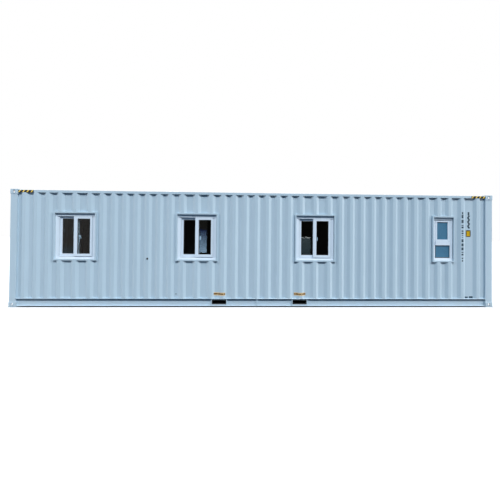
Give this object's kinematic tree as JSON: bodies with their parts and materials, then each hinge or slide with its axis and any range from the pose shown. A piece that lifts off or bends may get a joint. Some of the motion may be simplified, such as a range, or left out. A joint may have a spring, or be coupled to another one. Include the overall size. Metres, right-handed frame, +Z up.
{
  "type": "shipping container cabin",
  "caption": "Long steel container cabin with corrugated walls, white sliding windows on one long side, fork pockets, corner castings and cargo doors.",
  "frame": {"origin": "middle of the footprint, on the plane of the bottom castings' feet", "axes": "+X along the length towards the closed end, -Y out of the side with the windows, +Z up"},
  "size_m": [12.192, 2.438, 2.896],
  "materials": {
    "hull_paint": "satin",
    "underframe_paint": "matt",
    "floor_wood": "worn",
    "lining": "matt",
    "white_pvc": "satin",
    "clear_glass": "clear",
    "frosted_glass": "frosted",
    "zinc_steel": "galvanised"
  },
  "bodies": {
    "root": {"corner_castings": "hull_paint", "door_end_posts": "hull_paint", "closed_end_posts": "hull_paint", "top_rail_front": "hull_paint", "top_rail_back": "hull_paint", "bottom_rail_front": "hull_paint", "bottom_rail_back": "hull_paint", "end_header": "hull_paint", "end_sill": "hull_paint", "door_header": "hull_paint", "door_sill": "hull_paint", "cross_members": "underframe_paint", "fork_pockets": "underframe_paint", "floor_boards": "floor_wood", "front_wall": "hull_paint", "back_wall": "hull_paint", "end_wall": "hull_paint", "roof_sheet": "hull_paint", "front_lining": "lining", "back_lining": "lining", "end_lining": "lining", "ceiling_lining": "lining", "window_1_surround": "hull_paint", "window_1_frame": "white_pvc", "window_1_front_sash": "white_pvc", "window_1_rear_sash": "white_pvc", "window_1_glass": "clear_glass", "window_2_surround": "hull_paint", "window_2_frame": "white_pvc", "window_2_front_sash": "white_pvc", "window_2_rear_sash": "white_pvc", "window_2_glass": "clear_glass", "window_3_surround": "hull_paint", "window_3_frame": "white_pvc", "window_3_front_sash": "white_pvc", "window_3_rear_sash": "white_pvc", "window_3_glass": "clear_glass", "narrow_surround": "hull_paint", "narrow_frame": "white_pvc", "narrow_sash": "white_pvc", "narrow_glass": "frosted_glass", "left_cargo_door": "hull_paint", "right_cargo_door": "hull_paint", "door_hinges": "hull_paint", "locking_bars": "zinc_steel"}
  },
  "joints": []
}
